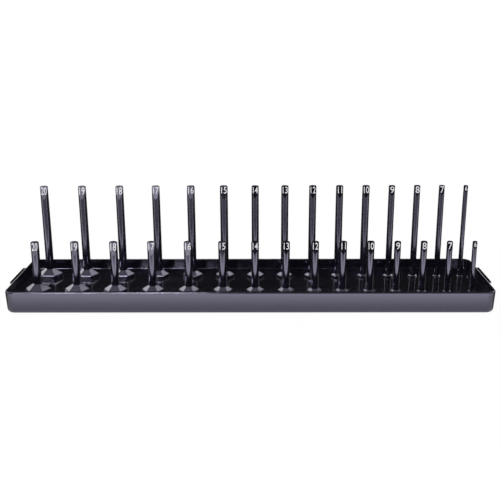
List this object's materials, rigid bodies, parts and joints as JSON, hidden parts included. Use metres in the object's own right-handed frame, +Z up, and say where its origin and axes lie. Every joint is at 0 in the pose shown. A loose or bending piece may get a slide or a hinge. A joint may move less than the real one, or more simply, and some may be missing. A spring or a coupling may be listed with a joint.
{
  "type": "two-row socket tray",
  "caption": "Low tray with two rows of upright numbered posts, short in front and tall behind, that each hold one wrench socket on a hexagonal skirt.",
  "frame": {"origin": "centre of the tray's footprint, on the plane that it rests on", "axes": "+X along the tray towards the smallest size, -Y front (short posts), +Z up"},
  "size_m": [0.3538, 0.0824, 0.0806],
  "materials": {
    "tray_plastic": "glossy injection-moulded black",
    "post_plastic": "glossy injection-moulded black, white number on the slanted face"
  },
  "bodies": {
    "root": {"tray": "tray_plastic", "regular_post_20": "post_plastic", "regular_post_19": "post_plastic", "regular_post_18": "post_plastic", "regular_post_17": "post_plastic", "regular_post_16": "post_plastic", "regular_post_15": "post_plastic", "regular_post_14": "post_plastic", "regular_post_13": "post_plastic", "regular_post_12": "post_plastic", "regular_post_11": "post_plastic", "regular_post_10": "post_plastic", "regular_post_9": "post_plastic", "regular_post_8": "post_plastic", "regular_post_7": "post_plastic", "regular_post_6": "post_plastic", "deep_post_20": "post_plastic", "deep_post_19": "post_plastic", "deep_post_18": "post_plastic", "deep_post_17": "post_plastic", "deep_post_16": "post_plastic", "deep_post_15": "post_plastic", "deep_post_14": "post_plastic", "deep_post_13": "post_plastic", "deep_post_12": "post_plastic", "deep_post_11": "post_plastic", "deep_post_10": "post_plastic", "deep_post_9": "post_plastic", "deep_post_8": "post_plastic", "deep_post_7": "post_plastic", "deep_post_6": "post_plastic"}
  },
  "joints": []
}
